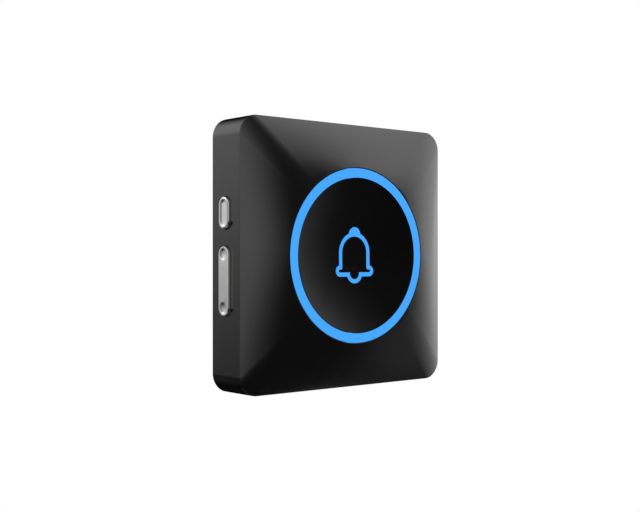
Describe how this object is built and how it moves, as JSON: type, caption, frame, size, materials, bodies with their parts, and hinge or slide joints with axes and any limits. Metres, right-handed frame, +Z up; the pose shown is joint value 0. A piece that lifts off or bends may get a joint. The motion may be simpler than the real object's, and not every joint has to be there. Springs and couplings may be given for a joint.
{
  "type": "doorbell chime",
  "caption": "Square wall-plug doorbell chime with a lit ring round a dished panel, a lit bell outline, and a select key and volume rocker on one side.",
  "frame": {"origin": "midway between the two plug pins, in the plug face that meets the socket", "axes": "+Y along the pins into the wall, so the front faces -Y; +Z up; +X to the right as seen from the front, so the keys are on the -X side"},
  "size_m": [0.086, 0.0566, 0.085],
  "materials": {
    "body_black": "satin black moulded plastic",
    "ring_glow": "lit translucent plastic, sky blue",
    "panel_black": "fine matt black plastic",
    "cover_black": "fine-grained black plastic",
    "baffle_black": "matt black plastic",
    "key_silver": "satin silver-grey plastic",
    "board_green": "solder-resist coated board",
    "board_brown": "paper laminate board",
    "chip_black": "moulded epoxy, bright legs",
    "lamp_white": "white lamp body with a yellow filler",
    "switch_black": "moulded nylon",
    "plunger_white": "moulded acetal",
    "tin_plate": "tin-plated steel",
    "spring_brass": "bright brass strip",
    "plug_white": "natural nylon",
    "lead_black": "black and red insulated cores",
    "foam_grey": "closed-cell foam",
    "basket_steel": "black painted pressing",
    "pot_steel": "zinc-plated steel",
    "magnet_nickel": "nickel-plated magnet",
    "coil_copper": "enamelled copper wire",
    "cone_film": "treated paper",
    "surround_rubber": "thin rubber",
    "ferrite": "dark ferrite",
    "winding_tape": "yellow tape over the winding",
    "can_sleeve": "shrink sleeve with a bare end",
    "resistor_grey": "coated ceramic body",
    "pin_nickel": "nickel-plated brass",
    "sleeve_black": "moulded insulation",
    "screw_steel": "zinc-plated steel"
  },
  "bodies": {
    "housing": {"front_shell": "body_black", "light_ring": "ring_glow", "dish_panel": "panel_black", "bell_island": "panel_black", "bell_window": "ring_glow", "light_baffle": "baffle_black", "main_board": "board_green", "main_board_screws": "screw_steel", "ring_leds": "lamp_white", "icon_leds": "lamp_white", "select_switch": "switch_black", "volume_up_switch": "switch_black", "volume_down_switch": "switch_black", "microcontroller": "chip_black", "melody_memory": "chip_black", "audio_amplifier": "chip_black", "radio_module": "tin_plate", "crystal": "tin_plate", "antenna_strip": "spring_brass", "speaker_plug": "plug_white", "speaker_lead": "lead_black", "speaker_gasket": "foam_grey", "speaker_frame": "basket_steel", "speaker_yoke": "pot_steel", "speaker_magnet": "magnet_nickel", "speaker_top_plate": "pot_steel", "speaker_surround": "surround_rubber", "speaker_screws": "screw_steel", "power_board": "board_brown", "transformer_core": "ferrite", "transformer_winding": "winding_tape", "smoothing_capacitors": "can_sleeve", "bridge_rectifier": "chip_black", "converter_chip": "chip_black", "fuse_resistor": "resistor_grey", "board_header": "chip_black", "rear_cover": "cover_black", "case_screws": "screw_steel", "plug_pins": "pin_nickel", "pin_sleeves": "sleeve_black"},
    "select_key": {"select_button": "key_silver"},
    "select_push": {"select_plunger": "plunger_white"},
    "rocker": {"volume_rocker": "key_silver"},
    "up_push": {"volume_up_plunger": "plunger_white"},
    "down_push": {"volume_down_plunger": "plunger_white"},
    "diaphragm": {"speaker_cone": "cone_film", "voice_coil": "coil_copper"}
  },
  "joints": [
    {"name": "select_press", "type": "slide", "parent": "housing", "child": "select_key", "axis": [1, 0, 0], "range_m": [0, 0.0004], "stiffness_N_per_m": 2500},
    {"name": "select_plunger_slide", "type": "slide", "parent": "housing", "child": "select_push", "axis": [1, 0, 0], "range_m": [0, 0.0004]},
    {"name": "volume_rock", "type": "hinge", "parent": "housing", "child": "rocker", "pos_m": [-0.0389, -0.02465, -0.0078], "axis": [0, 1, 0], "range_deg": [-1.3, 1.3], "stiffness_Nm_per_rad": 0.2},
    {"name": "volume_up_slide", "type": "slide", "parent": "housing", "child": "up_push", "axis": [1, 0, 0], "range_m": [-0.00025, 0.00025]},
    {"name": "volume_down_slide", "type": "slide", "parent": "housing", "child": "down_push", "axis": [1, 0, 0], "range_m": [-0.00025, 0.00025]},
    {"name": "cone_drive", "type": "slide", "parent": "housing", "child": "diaphragm", "axis": [0, 1, 0], "range_m": [-0.0002, 0.0002], "stiffness_N_per_m": 1000, "deforming": ["speaker_surround"]}
  ],
  "couplings": [
    {"joint": "select_plunger_slide", "follows": "select_press", "ratio": 1},
    {"joint": "volume_up_slide", "follows": "volume_rock", "m_per_rad": 0.0082},
    {"joint": "volume_down_slide", "follows": "volume_rock", "m_per_rad": -0.0082}
  ]
}
